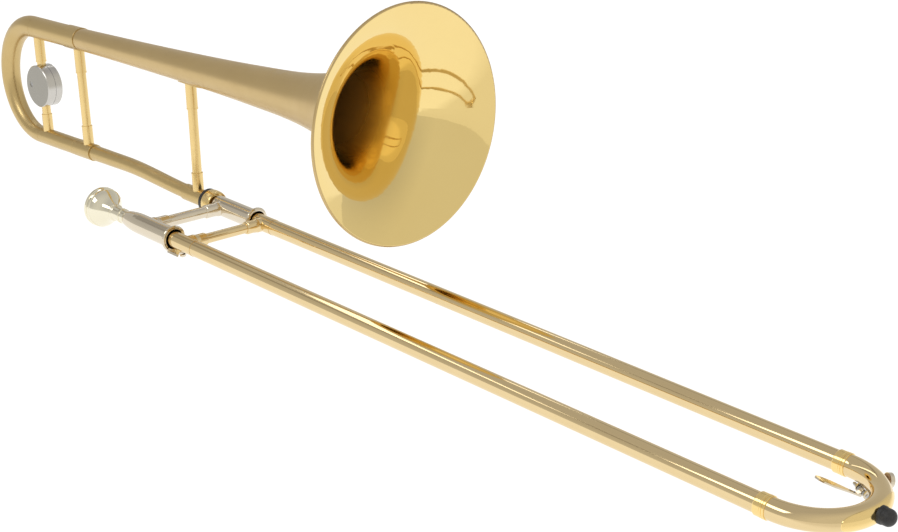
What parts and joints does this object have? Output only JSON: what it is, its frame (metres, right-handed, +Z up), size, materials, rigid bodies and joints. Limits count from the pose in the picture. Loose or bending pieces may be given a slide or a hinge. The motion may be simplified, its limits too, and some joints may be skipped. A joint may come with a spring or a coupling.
{
  "type": "trombone",
  "caption": "Straight tenor slide trombone with flared bell, telescoping hand slide, tuning slide with counterweight, mouthpiece and water key.",
  "frame": {"origin": "centre of the inner slide brace, midway between the two slide tubes, where the left hand grips", "axes": "+X along the slide towards the slide bow and the bell mouth, +Y from the mouthpiece side to the bell section's side, +Z up from the slide to the bell"},
  "size_m": [1.1662, 0.2117, 0.2583],
  "materials": {
    "mouthpiece": "polished silver plate",
    "inner_tube": "polished hard chrome",
    "outer_tube": "polished clear-lacquered brass",
    "nickel_silver": "polished nickel silver",
    "lacquered_brass": "clear lacquer over spun yellow brass",
    "raw_brass": "bare machined brass",
    "cork": "fine cork and felt",
    "rubber": "moulded black rubber",
    "counterweight_metal": "satin nickel",
    "steel": "plain spring and screw steel"
  },
  "bodies": {
    "inner_slide": {"inner_tube_mouthpiece_side": "inner_tube", "inner_tube_bell_side": "inner_tube", "stocking_mouthpiece_side": "inner_tube", "stocking_bell_side": "inner_tube", "slide_bumper_cork_mouthpiece_side": "cork", "slide_bumper_cork_bell_side": "cork", "cork_barrel_mouthpiece_side": "nickel_silver", "cork_barrel_bell_side": "nickel_silver", "mouthpiece_receiver": "nickel_silver", "neck_receiver": "nickel_silver", "leadpipe": "raw_brass", "inner_brace_tube": "nickel_silver", "inner_brace_ferrules": "nickel_silver"},
    "mouthpiece": {"mouthpiece": "mouthpiece"},
    "slide_lock": {"slide_lock_ring": "nickel_silver"},
    "outer_slide": {"outer_tube_mouthpiece_side": "outer_tube", "outer_tube_bell_side": "outer_tube", "brace_sleeve_mouthpiece_side": "outer_tube", "brace_sleeve_bell_side": "outer_tube", "outer_brace_tube": "outer_tube", "outer_brace_ferrules": "outer_tube", "slide_lock_lug": "raw_brass", "bow_ferrule_mouthpiece_side": "lacquered_brass", "bow_ferrule_bell_side": "lacquered_brass", "slide_bow": "outer_tube", "bow_guard": "lacquered_brass", "bumper_post": "nickel_silver", "rubber_bumper": "rubber", "water_key_saddle": "nickel_silver", "water_key_pivot_screw": "steel", "water_key_nipple": "raw_brass"},
    "water_key": {"water_key_lever": "nickel_silver", "water_key_cup": "nickel_silver", "water_key_cork": "cork", "water_key_spring": "steel"},
    "bell_section": {"neck_tenon": "raw_brass", "neck_washer": "rubber", "neck_ferrule": "lacquered_brass", "gooseneck": "lacquered_brass", "lower_tuning_receiver": "lacquered_brass", "upper_tuning_receiver": "lacquered_brass", "bell_stem": "lacquered_brass", "bell_flare": "lacquered_brass", "bell_rim_wire": "raw_brass", "rear_brace_tube": "lacquered_brass", "rear_brace_ferrules": "lacquered_brass", "front_brace_tube": "lacquered_brass", "front_brace_ferrules": "lacquered_brass", "bell_saddle_plate": "lacquered_brass"},
    "bell_lock_nut": {"bell_lock_nut": "lacquered_brass"},
    "tuning_slide": {"tuning_bow": "lacquered_brass", "tuning_leg_upper": "lacquered_brass", "tuning_leg_lower": "lacquered_brass", "tuning_inner_tube_upper": "nickel_silver", "tuning_inner_tube_lower": "nickel_silver", "tuning_brace_tube": "lacquered_brass", "tuning_brace_ferrules": "lacquered_brass", "counterweight_near_half": "counterweight_metal", "counterweight_far_half": "counterweight_metal", "counterweight_screw": "steel"}
  },
  "joints": [
    {"name": "hand_slide", "type": "slide", "parent": "inner_slide", "child": "outer_slide", "axis": [1, 0, 0], "range_m": [0, 0.575]},
    {"name": "mouthpiece_pull", "type": "slide", "parent": "inner_slide", "child": "mouthpiece", "axis": [-1, 0, 0], "range_m": [0, 0.05]},
    {"name": "slide_lock_turn", "type": "hinge", "parent": "inner_slide", "child": "slide_lock", "pos_m": [0.042, -0.044, 0], "axis": [1, 0, 0], "range_deg": [-24, 0]},
    {"name": "water_key_press", "type": "hinge", "parent": "outer_slide", "child": "water_key", "pos_m": [0.72037, 0.03246, -0.008], "axis": [-0.8704, 0.4924, 0], "range_deg": [0, 14], "stiffness_Nm_per_rad": 0.02, "springref_deg": -17.19, "deforming": ["water_key_spring"]},
    {"name": "bell_swing", "type": "hinge", "parent": "inner_slide", "child": "bell_section", "pos_m": [-0.01, 0.044, 0], "axis": [1, 0, 0], "range_deg": [-12, 8]},
    {"name": "lock_nut_turn", "type": "hinge", "parent": "inner_slide", "child": "bell_lock_nut", "pos_m": [-0.017, 0.044, 0], "axis": [1, 0, 0], "range_deg": [-120, 0]},
    {"name": "tuning_pull", "type": "slide", "parent": "bell_section", "child": "tuning_slide", "axis": [-0.9995, -0.0072, -0.0323], "range_m": [0, 0.04]}
  ]
}
